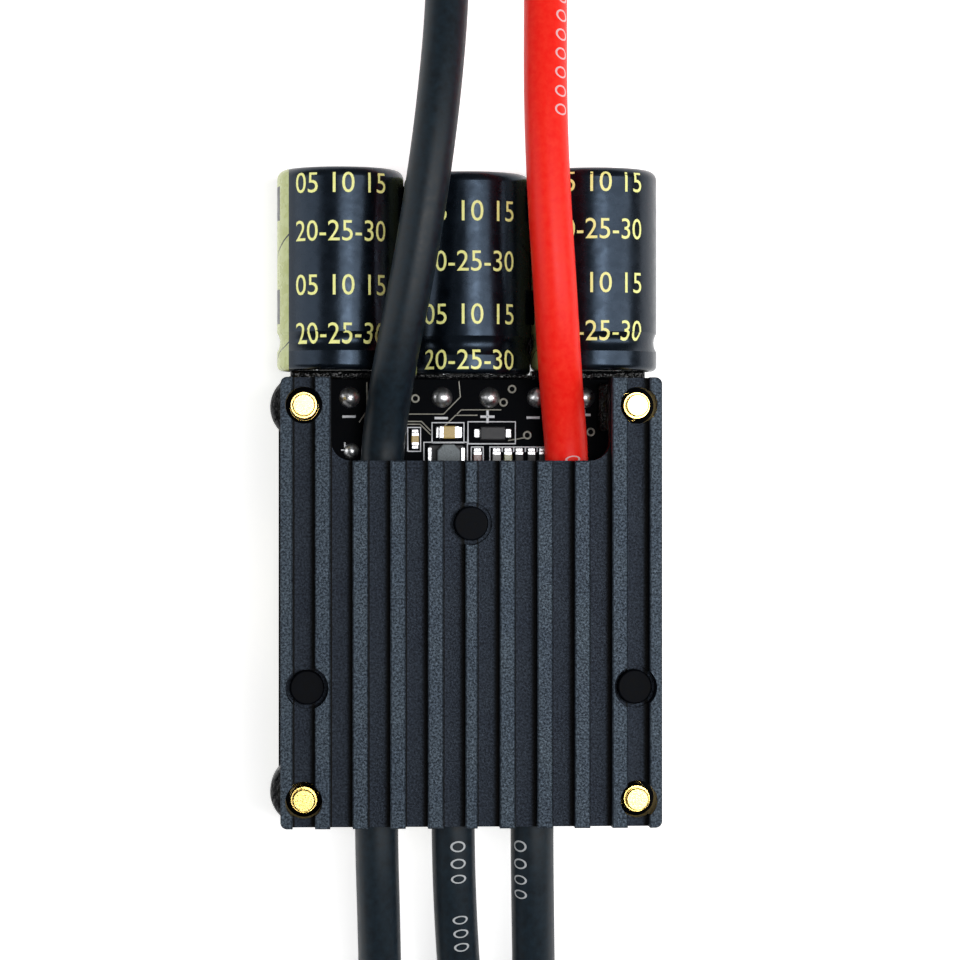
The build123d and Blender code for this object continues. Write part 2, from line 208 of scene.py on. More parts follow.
def speckle(tree, vector, grain, detail=2.0, roughness=0.6):
    # noise whose spots are about one grain across, in millimetres
    noise = addNode(tree, "ShaderNodeTexNoise",
                    {"Vector": vector, "Scale": 1 / grain, "Detail": detail, "Roughness": roughness})
    return noise.outputs["Fac"]


def between(tree, factor, low, high, dark, light):
    # a colour ramp from dark to light between two values of the factor
    ramp = addNode(tree, "ShaderNodeValToRGB", {"Fac": factor})
    ramp.color_ramp.elements[0].position = low
    ramp.color_ramp.elements[0].color = dark
    ramp.color_ramp.elements[1].position = high
    ramp.color_ramp.elements[1].color = light
    return ramp.outputs["Color"]


def remap(tree, factor, low, high, start, end):
    node = addNode(tree, "ShaderNodeMapRange",
                   {"Value": factor, "From Min": low, "From Max": high, "To Min": start, "To Max": end})
    return node.outputs["Result"]


def math2(tree, operation, *values):
    node = addNode(tree, "ShaderNodeMath", operation=operation)
    for socket, value in zip(node.inputs, values):
        if isinstance(value, bpy.types.NodeSocket):
            tree.links.new(value, socket)
        else:
            socket.default_value = value
    return node.outputs["Value"]


def setBump(tree, shader, height, depth, strength=1.0):
    bump = addNode(tree, "ShaderNodeBump", {"Height": height, "Distance": depth * mm, "Strength": strength})
    tree.links.new(bump.outputs["Normal"], shader.inputs["Normal"])


# where the painted shadow band and the thin painted shade line fall in each groove, in millimetres
ribPattern = {"pitch": 3.85, "rightCorner": 2.895, "leftCorner": -0.615, "shadowWidth": 0.5,
              "shadeLinePlace": 2.19, "shadeLineHalf": 0.1}


def cornerShade(tree, place, height):
    # painted shadow: a near-black band on each groove floor beside the next rib, and a thin painted shade
    # line at the groove's left edge, just after each rib
    across = addNode(tree, "ShaderNodeSeparateXYZ", {"Vector": place}).outputs["X"]
    rightSide = math2(tree, "GREATER_THAN", across, 0.0)
    gap = ribPattern["rightCorner"] - ribPattern["leftCorner"]
    corner = math2(tree, "ADD", math2(tree, "MULTIPLY", rightSide, gap), ribPattern["leftCorner"])
    beyond = math2(tree, "WRAP", math2(tree, "SUBTRACT", across, corner), 0.0, -ribPattern["pitch"])
    width = ribPattern["shadowWidth"]
    near = remap(tree, beyond, -width * 1.2, -width * 0.5, 0.0, 1.0)
    shadeLine = math2(tree, "LESS_THAN", math2(tree, "ABSOLUTE", math2(
        tree, "ADD", beyond, ribPattern["shadeLinePlace"])), ribPattern["shadeLineHalf"])
    low = math2(tree, "LESS_THAN", height, 18.0)
    return math2(tree, "MULTIPLY", math2(tree, "MAXIMUM", near, shadeLine), low)


def blackAnodisedAluminium():
    # aluminium, bead-blast finish, anodised black: fine grit sparkle, blue-grey sheen; the rib tops painted
    # lighter than the groove floors as painted light and shade, and a painted shadow in each groove corner
    material, tree, shader, place = newMaterial("blackAnodisedAluminium", Metallic=0.5,
                                                Specular_IOR_Level=0.15)
    grit = speckle(tree, place, 0.22, 3.0, 0.7)
    cloud = speckle(tree, place, 4.0)
    height = addNode(tree, "ShaderNodeSeparateXYZ", {"Vector": place}).outputs["Z"]
    paintedTopLight = remap(tree, height, 17.6, 18.45, 0.0, 1.0)     # painted light and shade: the rib tops lighter, the groove floors darker, by height
    # painted shade in the darker groove colours, painted light in the paler rib-top colours
    groove = between(tree, grit, 0.38, 0.66, colour("#151a22"), colour("#2a323c"))
    top = between(tree, grit, 0.4, 0.66, colour("#1b2229"), colour("#4a555f"))
    blend = addNode(tree, "ShaderNodeMix", {"Factor": paintedTopLight, "A": groove, "B": top}, data_type="RGBA")
    # painted shadow: the groove corners are mixed towards near-black
    base = addNode(tree, "ShaderNodeMix", {"Factor": cornerShade(tree, place, height),
                                           "A": blend.outputs["Result"], "B": colour("#020304")},
                   data_type="RGBA").outputs["Result"]
    tint = between(tree, cloud, 0.3, 0.7, colour("#e3e6ee"), colour("#ffffff"))
    mixed = addNode(tree, "ShaderNodeMix", {"Factor": 1.0}, data_type="RGBA", blend_type="MULTIPLY")
    tree.links.new(base, mixed.inputs["A"])
    tree.links.new(tint, mixed.inputs["B"])
    tree.links.new(mixed.outputs["Result"], shader.inputs["Base Color"])
    tree.links.new(remap(tree, grit, 0.3, 0.7, 0.5, 0.36), shader.inputs["Roughness"])
    setBump(tree, shader, grit, 0.03)
    return material


def turnedBrass():
    # free-cutting brass, turned and bright: fine lathe rings, warm reflections
    material, tree, shader, place = newMaterial("turnedBrass", Metallic=1.0)
    grain = speckle(tree, place, 0.15)
    tree.links.new(between(tree, grain, 0.3, 0.7, colour("#d8b04e"), colour("#f4dc90")),
                   shader.inputs["Base Color"])
    tree.links.new(remap(tree, grain, 0.3, 0.7, 0.14, 0.24), shader.inputs["Roughness"])
    setBump(tree, shader, grain, 0.004)
    return material


def goldPlate():
    # gold flash on brass, barrel plated: smooth and deep yellow
    material, tree, shader, place = newMaterial("goldPlate", Metallic=1.0)
    grain = speckle(tree, place, 0.6)
    tree.links.new(between(tree, grain, 0.3, 0.7, colour("#dfa640"), colour("#f3c664")),
                   shader.inputs["Base Color"])
    tree.links.new(remap(tree, grain, 0.3, 0.7, 0.16, 0.26), shader.inputs["Roughness"])
    return material


def solderMask():
    # black solder mask over glass epoxy: satin black faces, olive-grey cut edges
    material, tree, shader, place = newMaterial("solderMask", IOR=1.5, Specular_IOR_Level=0.02)
    weave = speckle(tree, place, 0.5)
    mask = between(tree, weave, 0.3, 0.7, colour("#020306"), colour("#05070b"))
    core = between(tree, weave, 0.3, 0.7, colour("#6c705c"), colour("#9a9d88"))
    normal = addNode(tree, "ShaderNodeTexCoord").outputs["Normal"]
    up = addNode(tree, "ShaderNodeSeparateXYZ", {"Vector": normal}).outputs["Z"]
    edge = math2(tree, "LESS_THAN", math2(tree, "ABSOLUTE", up), 0.5)
    mixed = addNode(tree, "ShaderNodeMix", {"Factor": edge, "A": mask, "B": core}, data_type="RGBA")
    tree.links.new(mixed.outputs["Result"], shader.inputs["Base Color"])
    tree.links.new(remap(tree, weave, 0.3, 0.7, 0.45, 0.55), shader.inputs["Roughness"])
    setBump(tree, shader, weave, 0.008)
    return material


sleeveMarks = {
    "pitch": 13.35,                 # capacitors side by side
    "axisHeight": 7.0,
    "stripeEdge": -5.4,             # the pale band covers what lies further left
    "repeat": 10.8,                 # minus bars along the can
    "barMiddle": 20.1,
    "barHalf": 1.8,
    "barRise": 2.0,
    "arrowStart": 24.8,
    "arrowSlope": 0.7,
    "arrowHalf": 0.1,
}


def printedVinyl():
    # heat-shrunk vinyl sleeve: glossy black, with a pale polarity band of minus bars and arrows
    marks = sleeveMarks
    material, tree, shader, place = newMaterial("printedVinyl", IOR=1.54, Specular_IOR_Level=0.38,
                                                Specular_Tint=colour("#b4cff0"))
    split = addNode(tree, "ShaderNodeSeparateXYZ", {"Vector": place}).outputs
    across = math2(tree, "WRAP", split["X"], marks["pitch"] / 2, -marks["pitch"] / 2)
    rise = math2(tree, "ABSOLUTE", math2(tree, "SUBTRACT", split["Z"], marks["axisHeight"]))
    half = marks["repeat"] / 2
    alongBar = math2(tree, "ABSOLUTE", math2(
        tree, "WRAP", math2(tree, "SUBTRACT", split["Y"], marks["barMiddle"]), half, -half))
    bar = math2(tree, "MULTIPLY", math2(tree, "LESS_THAN", alongBar, marks["barHalf"]),
                math2(tree, "LESS_THAN", rise, marks["barRise"]))
    slanted = math2(tree, "SUBTRACT", split["Y"], math2(tree, "MULTIPLY", rise, marks["arrowSlope"]))
    alongArrow = math2(tree, "ABSOLUTE", math2(
        tree, "WRAP", math2(tree, "SUBTRACT", slanted, marks["arrowStart"]), half, -half))
    arrow = math2(tree, "LESS_THAN", alongArrow, marks["arrowHalf"])
    ink = math2(tree, "MAXIMUM", bar, arrow)
    band = math2(tree, "LESS_THAN", across, marks["stripeEdge"])
    pale = math2(tree, "MULTIPLY", band, math2(tree, "SUBTRACT", 1.0, ink))
    cloud = speckle(tree, place, 1.5)
    black = between(tree, cloud, 0.3, 0.7, colour("#03060a"), colour("#070c12"))
    yellow = between(tree, cloud, 0.3, 0.7, colour("#b3ba70"), colour("#c6cd90"))
    mixed = addNode(tree, "ShaderNodeMix", {"Factor": pale, "A": black, "B": yellow}, data_type="RGBA")
    tree.links.new(mixed.outputs["Result"], shader.inputs["Base Color"])
    tree.links.new(remap(tree, cloud, 0.3, 0.7, 0.22, 0.32), shader.inputs["Roughness"])
    ripple = speckle(tree, place, 1.1, 1.0, 0.4)
    setBump(tree, shader, ripple, 0.02)
    return material


def addLeadPrint(material, length, start, twist, shift, run, repeat):
    # a faint row of printed ovals along a lead, from the lead's own map: along it and round it
    tree = material.node_tree
    shader = tree.nodes["Principled BSDF"]
    own = addNode(tree, "ShaderNodeTexCoord").outputs["UV"]
    split = addNode(tree, "ShaderNodeSeparateXYZ", {"Vector": own}).outputs
    along = math2(tree, "MULTIPLY", split["X"], length)
    middle = math2(tree, "ADD", math2(tree, "MULTIPLY", split["X"], twist), start)
    girth = math.pi * leadSettings["diameter"]
    across = math2(tree, "MULTIPLY", math2(tree, "SUBTRACT", split["Y"], middle), girth)
    glyph = math2(tree, "WRAP", along, 0.95, -0.95)
    reach = math2(tree, "SQRT", math2(
        tree, "ADD", math2(tree, "POWER", math2(tree, "ABSOLUTE", math2(tree, "DIVIDE", glyph, 0.5)), 2.0),
        math2(tree, "POWER", math2(tree, "ABSOLUTE", math2(tree, "DIVIDE", across, 0.72)), 2.0)))
    stroke = math2(tree, "LESS_THAN", math2(tree, "ABSOLUTE", math2(tree, "SUBTRACT", reach, 1.0)), 0.16)
    shifted = math2(tree, "ADD", along, shift)
    words = math2(tree, "LESS_THAN", math2(tree, "WRAP", shifted, repeat, 0.0), run)
    normal = addNode(tree, "ShaderNodeTexCoord").outputs["Normal"]
    up = addNode(tree, "ShaderNodeSeparateXYZ", {"Vector": normal}).outputs["Z"]
    onTop = math2(tree, "GREATER_THAN", up, 0.33)           # keeps clear of the map's seam
    inked = math2(tree, "MULTIPLY", math2(tree, "MULTIPLY", stroke, words),
                  math2(tree, "MULTIPLY", onTop, 0.62))
    base = shader.inputs["Base Color"].links[0].from_socket
    mixed = addNode(tree, "ShaderNodeMix", {"Factor": inked, "A": base, "B": colour("#dfe3e6")},
                    data_type="RGBA")
    tree.links.new(mixed.outputs["Result"], shader.inputs["Base Color"])
    return material


def plain(name, dark, light, grain, rough, bumpDepth=0.0, **sockets):
    # an even material with fine colour and gloss variation at its own grain
    material, tree, shader, place = newMaterial(name, **sockets)
    fine = speckle(tree, place, grain)
    tree.links.new(between(tree, fine, 0.3, 0.7, colour(dark), colour(light)), shader.inputs["Base Color"])
    tree.links.new(remap(tree, fine, 0.3, 0.7, *rough), shader.inputs["Roughness"])
    if bumpDepth:
        setBump(tree, shader, fine, bumpDepth)
    return material


def makeMaterials():
    return {
        "sink": blackAnodisedAluminium(),
        "brass": turnedBrass(),
        "gold": goldPlate(),
        "mask": solderMask(),
        "vinyl": printedVinyl(),
        # silicone rubber, extruded over fine strands: satin, slightly dusty
        "blackSilicone": plain("blackSiliconeRubber", "#07131b", "#0d1f2a", 0.8, (0.42, 0.52), 0.01,
                               IOR=1.42, Specular_IOR_Level=0.4),
        "redSilicone": plain("redSiliconeRubber", "#fb1c12", "#ff2f1f", 0.8, (0.36, 0.46), 0.01, IOR=1.42,
                             Specular_IOR_Level=0.25),
        # natural rubber, moulded and rough: dull with small glints
        "rubber": plain("mouldedRubber", "#0b0d0f", "#24272a", 0.5, (0.25, 0.5), 0.5, IOR=1.5),
        # glass-filled nylon, moulded black
        "nylon": plain("blackNylon", "#040508", "#0a0d13", 0.5, (0.45, 0.55), 0.006, IOR=1.53,
                       Specular_IOR_Level=0.04),
        # nylon, moulded cream
        "creamNylon": plain("creamNylon", "#d8d2bf", "#e8e3d3", 0.6, (0.4, 0.5), 0.006, IOR=1.53),
        # epoxy moulding compound, matt from its mould
        "epoxy": plain("mouldedEpoxy", "#15161a", "#26282c", 0.25, (0.5, 0.62), 0.012, IOR=1.55),
        # silicone gap filler sheet
        "pad": plain("siliconeGapPad", "#7d8892", "#95a0a8", 0.4, (0.7, 0.8), 0.02, IOR=1.45),
        # aluminium can, drawn
        "can": plain("drawnAluminium", "#b9bcc0", "#d3d6d9", 0.7, (0.28, 0.4), 0.006, Metallic=1.0),
        # tin solder, frozen bright
        "solder": plain("brightSolder", "#d6d8db", "#f6f7f8", 0.35, (0.26, 0.42), 0.03, Metallic=1.0),
        # nickel-plated steel, stamped
        "nickel": plain("nickelPlatedSteel", "#b4b5b6", "#cfd0d1", 0.5, (0.22, 0.34), 0.004, Metallic=1.0),
        # ferrite, ground grey
        "ferrite": plain("groundFerrite", "#545c60", "#7c8589", 0.12, (0.55, 0.7), 0.02, IOR=1.6),
        # barium titanate ceramic, fired tan
        "ceramic": plain("firedCeramic", "#a58a45", "#c2a861", 0.2, (0.35, 0.5), 0.004, IOR=1.6),
        # status light lens, clear resin over a phosphor
        "lens": plain("lampResin", "#b39a86", "#cbb6a0", 0.2, (0.2, 0.3), 0.0, IOR=1.5),
        # cured silicone adhesive, wet black gloss
        "adhesive": plain("curedAdhesive", "#020304", "#06070a", 0.7, (0.12, 0.3), 0.3, IOR=1.45,
                          Specular_IOR_Level=0.3),
        # polyolefin shrink tube, matt black
        "shrink": plain("shrinkTube", "#101114", "#1b1c20", 0.6, (0.46, 0.6), 0.02, IOR=1.49),
        # screen-printed ink, yellow
        "ink": plain("yellowInk", "#f4f48c", "#ffffac", 0.3, (0.4, 0.5), 0.0, IOR=1.5),
        # thick-film chip body, fired grey; and two lamp bodies
        "fired": plain("firedChip", "#6d6f70", "#90928f", 0.2, (0.4, 0.5), 0.0, IOR=1.6),
        "redLamp": plain("redLampResin", "#4d2a26", "#7a4238", 0.2, (0.2, 0.3), 0.0, IOR=1.5),
        "greenLamp": plain("greenLampResin", "#6f7150", "#97986a", 0.2, (0.2, 0.3), 0.0, IOR=1.5),
        # copper under black mask: a dull line seen through the lacquer
        "maskedCopper": plain("maskedCopper", "#7b7a6e", "#98968a", 0.3, (0.25, 0.35), 0.0, IOR=1.5),
        # screen-printed ink, white on the board
        "silk": plain("whiteInk", "#cfd2d8", "#e6e8ec", 0.2, (0.5, 0.6), 0.0, IOR=1.5),
    }


# length is the scale of the print along the map, true near the body; the far ends are stretched
leadPrint = {
    "positive": {"length": 109.0, "start": 0.23, "twist": 0.18, "shift": 12.35, "run": 19.0, "repeat": 64.6},
    "b": {"length": 70.0, "start": 0.17, "twist": 0.0, "shift": 2.85, "run": 5.7, "repeat": 9.5},
    "c": {"length": 71.0, "start": 0.31, "twist": 0.0, "shift": 31.35, "run": 7.6, "repeat": 38.0},
}


slotMaterials = {
    "black_anodised_aluminium": "sink",
    "circuit_board": "mask",
    "brass": "brass",
    "black_rubber": "rubber",
    "black_nylon": "nylon",
    "black_epoxy": "epoxy",
    "grey_silicone": "pad",
    "can_aluminium": "can",
    "black_vinyl_sleeve": "vinyl",
    "tinned_copper": "solder",
    "nickel_steel": "nickel",
    "grey_ferrite": "ferrite",
    "tan_ceramic": "ceramic",
    "led_lens": "lens",
    "black_adhesive": "adhesive",
    "white_nylon": "creamNylon",
    "gold_plate": "gold",
    "red_silicone": "redSilicone",
    "black_silicone": "blackSilicone",
    "black_shrink": "shrink",
}


def dressNodes(materials):
    slots = {part["node"]: part["material_slot"] for part in frame["record"]["subparts"]}
    for name, node in nodes.items():
        material = materials[slotMaterials[slots[name]]]
        if node.material_slots:
            for slot in node.material_slots:
                slot.material = material
        else:
            node.data.materials.append(material)
    for name, lead in leads.items():
        kind = "redSilicone" if name == "positive" else "blackSilicone"
        silicone = materials[kind]
        if name in leadPrint:
            silicone = addLeadPrint(silicone.copy(), **leadPrint[name])
            silicone.name = "printed" + kind[0].upper() + kind[1:]
        lead.data.materials.append(silicone)


def addFloor():
    bpy.ops.mesh.primitive_plane_add(size=6.0, location=(0, 0, -0.0001))
    floor = bpy.context.object
    floor.name = "paleFloor"
    floor.data.materials.append(plain(
        "lightTable", "#f2f2f2", "#f6f6f6", 40.0, (0.8, 0.9), 0.0,
        Emission_Color=(1, 1, 1, 1), Emission_Strength=0.6))       # opal sheet lit from below


addLights()
addFloor()
materials = makeMaterials()
dressNodes(materials)
print("light, floor and", len(materials), "materials")


# ---------- modelling helpers ----------
def clearSelection():
    if bpy.context.mode != "OBJECT":
        bpy.ops.object.mode_set(mode="OBJECT")
    bpy.ops.object.select_all(action="DESELECT")


def editAll(piece):
    clearSelection()
    piece.select_set(True)
    bpy.context.view_layer.objects.active = piece
    bpy.ops.object.mode_set(mode="EDIT")
    bpy.ops.mesh.select_mode(type="FACE")
    bpy.ops.mesh.select_all(action="SELECT")


def placeMesh(piece, scale=(1, 1, 1), shift=(0, 0, 0)):
    # sizes and moves the mesh itself, so the object stays at the origin
    editAll(piece)
    bpy.ops.transform.resize(value=scale, center_override=(0, 0, 0))
    bpy.ops.transform.translate(value=Vector(shift) * mm)
    bpy.ops.object.mode_set(mode="OBJECT")


def pickFaces(piece, wanted):
    # selects the faces whose middle (in mm) and normal pass the test, and stays in edit mode
    editAll(piece)
    bpy.ops.mesh.select_all(action="DESELECT")
    bpy.ops.object.mode_set(mode="OBJECT")
    for face in piece.data.polygons:
        face.select = wanted(face.center / mm, face.normal)
    bpy.ops.object.mode_set(mode="EDIT")


def addBlock(name, centre, size, edge):
    clearSelection()
    bpy.ops.mesh.primitive_cube_add(size=mm, location=(0, 0, 0))
    block = bpy.context.object
    block.name = name
    placeMesh(block, size, centre)
    if edge:
        editAll(block)
        bpy.ops.mesh.bevel(offset=edge * mm, segments=2, affect="EDGES")
        bpy.ops.object.mode_set(mode="OBJECT")
    return block


def cutAcross(piece, place, normal):
    editAll(piece)
    bpy.ops.mesh.bisect(plane_co=Vector(place) * mm, plane_no=normal)
    bpy.ops.object.mode_set(mode="OBJECT")


def joinPieces(name, pieces):
    clearSelection()
    for piece in pieces:
        piece.select_set(True)
    bpy.context.view_layer.objects.active = pieces[0]
    if len(pieces) > 1:
        bpy.ops.object.join()
    joined = bpy.context.object
    joined.name = name
    return joined


def setPiece(piece, slot, *replaced):
    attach(piece, "root")
    if replaced:
        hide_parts(*replaced)


def useMaterials(piece, *kinds):
    for kind in kinds:
        piece.data.materials.append(materials[kind])


# ---------- chip parts on the board ----------
boardTop = 9.1
chipParts = {
    "ceramicLarge": {"centre": (-2.0, 6.95), "size": (2.05, 1.25, 1.2), "cap": 0.42, "axis": 0,
                     "body": "ceramic"},
    "ceramicSmall": {"centre": (-5.57, 6.24), "size": (0.72, 1.4, 0.75), "cap": 0.34, "axis": 1,
                     "body": "ceramic"},
    "resistorA": {"centre": (3.0, 4.17), "size": (0.8, 1.6, 0.5), "cap": 0.32, "axis": 1, "body": "fired"},
    "resistorB": {"centre": (5.38, 4.17), "size": (0.8, 1.6, 0.5), "cap": 0.32, "axis": 1, "body": "epoxy"},
    "resistorC": {"centre": (6.68, 4.17), "size": (0.8, 1.6, 0.5), "cap": 0.32, "axis": 1, "body": "epoxy"},
    "resistorD": {"centre": (7.87, 4.17), "size": (0.8, 1.6, 0.5), "cap": 0.32, "axis": 1, "body": "epoxy"},
    "lampRed": {"centre": (0.98, 4.17), "size": (0.8, 1.6, 0.6), "cap": 0.34, "axis": 1, "body": "redLamp"},
    "lampGreen": {"centre": (4.2, 4.17), "size": (0.8, 1.6, 0.6), "cap": 0.34, "axis": 1,
                  "body": "greenLamp"},
}


def addChip(name):
    # a fired or moulded body with a plated cap round each end, soldered down by small fillets
    part = chipParts[name]
    x, y = part["centre"]
    width, depth, height = part["size"]
    axis = part["axis"]
    chip = addBlock(name, (x, y, boardTop + height / 2), part["size"], 0.07)
    middle = (x, y)[axis]
    half = (width, depth)[axis] / 2 - part["cap"]
    normal = (1, 0, 0) if axis == 0 else (0, 1, 0)
    for side in (-half, half):
        place = [x, y, boardTop]
        place[axis] = middle + side
        cutAcross(chip, place, normal)
    useMaterials(chip, part["body"], "solder")
    pickFaces(chip, lambda centre, normal: abs(centre[axis] - middle) > half)
    chip.active_material_index = 1
    bpy.ops.object.material_slot_assign()
    bpy.ops.transform.shrink_fatten(value=0.035 * mm)
    bpy.ops.object.mode_set(mode="OBJECT")
    fillets = []
    for side in (-1, 1):
        reach = (width, depth)[axis] / 2 + 0.1
        place = [x, y, boardTop + 0.1]
        place[axis] += side * reach
        size = [width * 0.98, depth * 0.98, 0.2]
        size[axis] = 0.5
        fillet = addBlock(name + "Solder", place, size, 0.09)
        useMaterials(fillet, "solder")
        fillets.append(fillet)
    return joinPieces(name, [chip] + fillets)


def addChips():
    groups = {
        "ceramic_capacitors": (["ceramicLarge", "ceramicSmall"], "tan_ceramic"),
        "small_resistors": (["resistorA", "resistorB", "resistorC", "resistorD"], "black_epoxy"),
        "status_leds": (["lampRed", "lampGreen"], "led_lens"),
    }
    for node, (names, slot) in groups.items():
        group = joinPieces(node + "_detail", [addChip(name) for name in names])
        setPiece(group, slot, node)


diode = {"centre": (2.5, 6.85), "body": (2.7, 1.45, 1.1), "tab": (0.66, 1.0, 0.42)}


def addDiode():
    # moulded body with drafted sides between two tinned tabs
    x, y = diode["centre"]
    width, depth, height = diode["body"]
    body = addBlock("diodeBody", (x + 0.08, y, boardTop + height / 2), diode["body"], 0)
    pickFaces(body, lambda centre, normal: normal.z > 0.9)
    bpy.ops.transform.resize(value=(0.93, 0.88, 1))
    bpy.ops.mesh.select_all(action="SELECT")
    bpy.ops.mesh.bevel(offset=0.06 * mm, segments=2, affect="EDGES")
    bpy.ops.object.mode_set(mode="OBJECT")
    useMaterials(body, "epoxy")
    parts = [body]
    for side in (-1, 1):
        tabWidth, tabDepth, tabHeight = diode["tab"]
        place = (x + 0.08 + side * (width / 2 + tabWidth / 2 - 0.05), y, boardTop + tabHeight / 2)
        tab = addBlock("diodeTab", place, diode["tab"], 0.12)
        useMaterials(tab, "solder")
        parts.append(tab)
    setPiece(joinPieces("flybackDiodeDetail", parts), "black_epoxy", "flyback_diode")


inductor = {
    "centre": (-2.3, 3.7), "side": 3.9, "base": 0.5, "drum": 1.18,
    "corner": 0.62, "height": 2.0, "terminal": 0.46,
}


def addInductor():
    # ground ferrite drum on a moulded base, with a tinned plate up each side
    x, y = inductor["centre"]
    side = inductor["side"]
    base = addBlock("inductorBase", (x, y, boardTop + inductor["base"] / 2),
                    (side - 0.3, side - 0.1, inductor["base"]), 0.08)
    useMaterials(base, "epoxy")
    height = inductor["height"] - inductor["base"]
    drum = addBlock("inductorDrum", (x + 0.22, y, boardTop + inductor["base"] + height / 2),
                    (inductor["drum"] * 2, side + 0.04, height), 0)
    editAll(drum)
    bpy.ops.mesh.select_mode(type="EDGE")
    bpy.ops.mesh.select_all(action="DESELECT")
    bpy.ops.object.mode_set(mode="OBJECT")
    for edge in drum.data.edges:
        low, high = (drum.data.vertices[end].co for end in edge.vertices)
        edge.select = abs(low.z - high.z) > 0.5 * mm
    bpy.ops.object.mode_set(mode="EDIT")
    bpy.ops.mesh.bevel(offset=inductor["corner"] * mm, segments=1, affect="EDGES")
    bpy.ops.object.mode_set(mode="OBJECT")
    pickFaces(drum, lambda centre, normal: normal.z > 0.9)
    bpy.ops.mesh.bevel(offset=0.12 * mm, segments=3, affect="EDGES")
    bpy.ops.object.mode_set(mode="OBJECT")
    useMaterials(drum, "ferrite")
    parts = [base, drum]
    for end in (-1, 1):
        place = (x + end * (side / 2 - inductor["terminal"] / 2), y, boardTop + 0.45)
        terminal = addBlock("inductorTerminal", place, (inductor["terminal"], side - 0.5, 0.9), 0.1)
        useMaterials(terminal, "solder")
        parts.append(terminal)
    setPiece(joinPieces("powerInductorDetail", parts), "grey_ferrite", "power_inductor")


# ---------- ink and copper lines on the board ----------
boardLines = {
    "ink": {
        "width": 0.17,
        "paths": [
            [(-3.77, 5.87), (-0.42, 5.87), (-0.42, 7.97), (-3.77, 7.97), (-3.77, 5.87)],
            [(0.0, 5.76), (4.98, 5.76), (4.98, 8.07), (0.0, 8.07), (0.0, 5.76)],
            [(-6.32, 4.97), (-4.97, 4.97), (-4.97, 7.47), (-6.32, 7.47), (-6.32, 4.97)],
            [(-4.62, 3.0), (-4.62, 5.92), (-0.06, 5.92), (-0.06, 3.0)],
            [(2.3, 3.0), (2.3, 5.42), (8.6, 5.42), (8.6, 3.0)],
            [(3.6, 4.9), (3.6, 5.42)], [(4.8, 4.9), (4.8, 5.42)], [(6.03, 4.9), (6.03, 5.42)],
            [(7.27, 4.9), (7.27, 5.42)],
            [(0.35, 3.0), (0.35, 5.42), (1.6, 5.42), (1.6, 3.0)],
            [(-12.9, 5.9), (-12.9, 4.8)], [(-13.3, 5.1), (-12.9, 5.1)],
        ],
    },
    "polarity": {
        "width": 0.3,
        "paths": [
            [(-13.17, 8.6), (-11.77, 8.6)], [(-3.5, 8.45), (-2.1, 8.45)], [(6.15, 8.5), (7.55, 8.5)],
            [(1.3, 8.6), (2.8, 8.6)], [(2.05, 7.95), (2.05, 9.25)],
            [(11.5, 8.8), (12.9, 8.8)], [(12.2, 8.2), (12.2, 9.4)],
        ],
    },
    "copper": {
        "width": 0.14,
        "paths": [
            [(-6.9, 8.87), (-2.56, 8.87), (-0.8, 10.67), (-0.95, 12.3)],
            [(-7.1, 7.8), (-5.0, 7.8), (-3.9, 6.7)], [(-6.7, 8.1), (-4.88, 8.1), (-3.9, 7.1)],
            [(-2.5, 7.57), (-1.3, 8.75), (1.0, 8.75)], [(-1.16, 8.87), (-0.7, 9.32), (3.5, 9.32)],
            [(-8.4, 12.3), (-8.4, 11.2), (-7.6, 10.4)], [(-10.6, 12.2), (-10.6, 9.2), (-11.4, 8.0)],
            [(4.2, 6.1), (6.0, 6.4)], [(8.9, 12.2), (8.9, 10.4), (9.6, 9.6)],
        ],
    },
}
viaPlaces = [(4.63, 11.5), (3.73, 10.1), (6.23, 6.66), (-5.53, 10.5), (12.9, 7.0), (-12.0, 10.9), (8.9, 7.2)]


def addBoardLines(name, kind):
    # flat lines a few hundredths thick, laid on the board
    lines = boardLines[name]
    curve = bpy.data.curves.new(name + "Lines", "CURVE")
    curve.dimensions = "3D"
    curve.bevel_depth = lines["width"] * mm / 2
    curve.bevel_resolution = 1
    curve.use_fill_caps = True
    for path in lines["paths"]:
        spline = curve.splines.new("POLY")
        spline.points.add(len(path) - 1)
        for point, (x, y) in zip(spline.points, path):
            point.co = (x * mm, y * mm, 0, 1)
    clearSelection()
    piece = bpy.data.objects.new(name + "Lines", curve)
    bpy.context.scene.collection.objects.link(piece)
    piece.select_set(True)
    bpy.context.view_layer.objects.active = piece
    bpy.ops.object.convert(target="MESH")
    piece = bpy.context.object
    placeMesh(piece, (1, 1, 0.3), (0, 0, boardTop + 0.005))
    useMaterials(piece, kind)
    setPiece(piece, "circuit_board")


def addVias():
    rings = []
    for x, y in viaPlaces:
        clearSelection()
        bpy.ops.mesh.primitive_torus_add(major_radius=0.36 * mm, minor_radius=0.11 * mm,
                                         major_segments=24, minor_segments=6, location=(0, 0, 0))
        ring = bpy.context.object
        placeMesh(ring, (1, 1, 0.35), (x, y, boardTop + 0.01))
        rings.append(ring)
    vias = joinPieces("viaRings", rings)
    clearSelection()
    vias.select_set(True)
    bpy.ops.object.shade_smooth()
    useMaterials(vias, "maskedCopper")
    setPiece(vias, "circuit_board")


def addAdhesive():
    # silicone squeezed out by hand beside the last capacitor's leads
    lump = addBlock("adhesiveLump", (14.2, 9.6, boardTop + 0.75), (1.1, 5.0, 1.4), 0.3)
    editAll(lump)
    bpy.ops.mesh.subdivide(number_cuts=5)
    bpy.ops.transform.vertex_random(offset=0.16 * mm, seed=4)
    bpy.ops.mesh.vertices_smooth(factor=0.5, repeat=1)
    bpy.ops.object.mode_set(mode="OBJECT")
    bpy.ops.object.shade_smooth()
    useMaterials(lump, "adhesive")
    setPiece(lump, "black_adhesive", "adhesive_bead")


